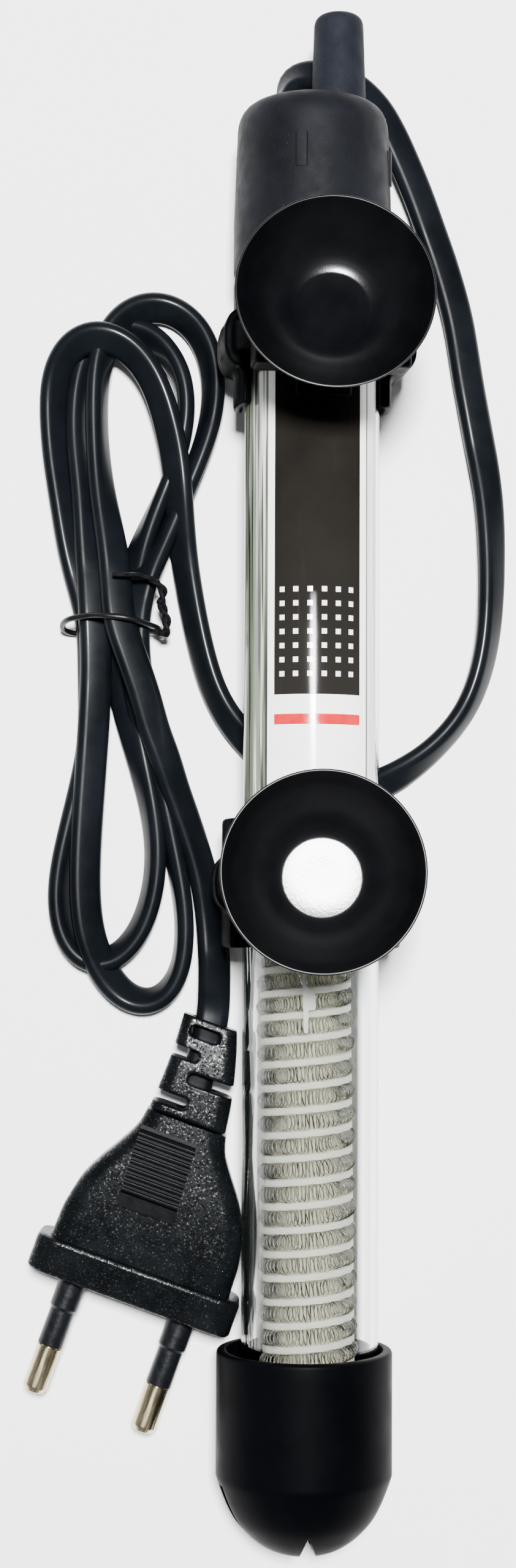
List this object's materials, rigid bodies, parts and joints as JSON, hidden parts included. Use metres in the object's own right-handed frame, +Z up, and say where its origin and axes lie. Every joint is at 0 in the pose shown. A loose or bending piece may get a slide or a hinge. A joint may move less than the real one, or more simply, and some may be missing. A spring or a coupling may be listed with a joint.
{
  "type": "submersible aquarium heater",
  "caption": "Slim glass-tube submersible aquarium heater with black head, guard, suction-cup clips and a flat cord tied in a hank, ending in a round-pin plug.",
  "frame": {"origin": "on the surface it lies on, under the middle of the heater's own bounding box", "axes": "+Y along the tube towards the head, +Z up from the surface, where the suction cups face, +X to the right seen from above"},
  "size_m": [0.0782, 0.25, 0.046],
  "materials": {
    "clear_glass": "clear, smooth tube glass",
    "printed_film": "white printed film, satin",
    "head_rubber": "matt black",
    "seal_rubber": "matt dark grey",
    "gland_rubber": "matt black",
    "knob_rubber": "matt dark grey",
    "spindle_brass": "turned brass",
    "o_ring_rubber": "black nitrile",
    "bracket_steel": "plated sheet steel",
    "spring_bronze": "bright spring bronze",
    "pin_steel": "ground steel",
    "contact_silver": "silver contact",
    "bimetal": "rolled bimetal",
    "ceramic": "unglazed cream ceramic",
    "magnet_ferrite": "sintered ferrite",
    "lamp_glass": "small neon lamp",
    "resistor_body": "lacquered resistor",
    "lead_insulation": "sleeved lead",
    "lead_blue": "blue sleeved lead",
    "lead_white": "woven glass sleeve",
    "crimp_tin": "tinned crimp",
    "resistance_wire": "oxidised resistance wire",
    "mica": "pressed mica",
    "guard_plastic": "black moulded plastic, satin",
    "clip_plastic": "black moulded plastic, satin",
    "cup_rubber": "black soft rubber, slight sheen",
    "cord_pvc": "black flexible PVC, soft gloss",
    "tie_wire": "plastic-coated wire",
    "plug_pvc": "black moulded PVC, fine grain",
    "pin_nickel": "nickel-plated brass",
    "pin_sleeve_plastic": "black pin insulation"
  },
  "bodies": {
    "heater_body": {"glass_tube": "clear_glass", "label_film": "printed_film", "head_cap": "head_rubber", "head_seal": "seal_rubber", "cord_gland": "gland_rubber", "spindle_o_ring": "o_ring_rubber", "adjuster_bush": "spindle_brass", "thermostat_bracket": "bracket_steel", "arm_pivot_pin": "pin_steel", "bimetal_contact": "contact_silver", "bimetal_strip": "bimetal", "contact_post": "ceramic", "snap_magnet": "magnet_ferrite", "indicator_lamp": "lamp_glass", "lamp_resistor": "resistor_body", "live_lead": "lead_insulation", "neutral_lead": "lead_blue", "return_lead": "lead_white", "live_crimp": "crimp_tin", "neutral_crimp": "crimp_tin", "upper_disc": "mica", "lower_disc": "mica", "ceramic_former": "ceramic", "heating_coil": "resistance_wire", "bottom_guard": "guard_plastic", "cord_lead": "cord_pvc", "cord_hank": "cord_pvc", "cord_tail": "cord_pvc", "cord_tie": "tie_wire", "plug_body": "plug_pvc", "plug_strain_relief": "plug_pvc", "plug_pin_left": "pin_nickel", "plug_pin_right": "pin_nickel", "pin_sleeve_left": "pin_sleeve_plastic", "pin_sleeve_right": "pin_sleeve_plastic"},
    "knob": {"temperature_knob": "knob_rubber", "knob_spindle": "spindle_brass"},
    "contact_lever": {"contact_arm": "spring_bronze", "moving_contact": "contact_silver"},
    "upper_clip_body": {"upper_clip": "clip_plastic"},
    "upper_cup_body": {"upper_suction_cup": "cup_rubber"},
    "lower_clip_body": {"lower_clip": "clip_plastic"},
    "lower_cup_body": {"lower_suction_cup": "cup_rubber"}
  },
  "joints": [
    {"name": "knob_turn", "type": "hinge", "parent": "heater_body", "child": "knob", "pos_m": [0.0032, 0.1077, 0.0141], "axis": [0, 1, 0], "range_deg": [-135, 135]},
    {"name": "contact_lever_pivot", "type": "hinge", "parent": "heater_body", "child": "contact_lever", "pos_m": [0.0026, 0.058, 0.0103], "axis": [1, 0, 0], "range_deg": [-1.6, 1.6]},
    {"name": "upper_clip_slide", "type": "slide", "parent": "heater_body", "child": "upper_clip_body", "axis": [0, 1, 0], "range_m": [-0.03, 0.001]},
    {"name": "upper_cup_swivel", "type": "hinge", "parent": "upper_clip_body", "child": "upper_cup_body", "pos_m": [0.00135, 0.0692, 0.03195], "axis": [0.0433, 0.1132, 0.9926], "continuous": true},
    {"name": "lower_clip_slide", "type": "slide", "parent": "heater_body", "child": "lower_clip_body", "axis": [0, 1, 0], "range_m": [-0.01, 0.02]},
    {"name": "lower_cup_swivel", "type": "hinge", "parent": "lower_clip_body", "child": "lower_cup_body", "pos_m": [0.00026, -0.0183, 0.03206], "axis": [0, 0.1045, 0.9945], "continuous": true}
  ],
  "couplings": [
    {"joint": "contact_lever_pivot", "follows": "knob_turn", "ratio": 0.011111}
  ]
}
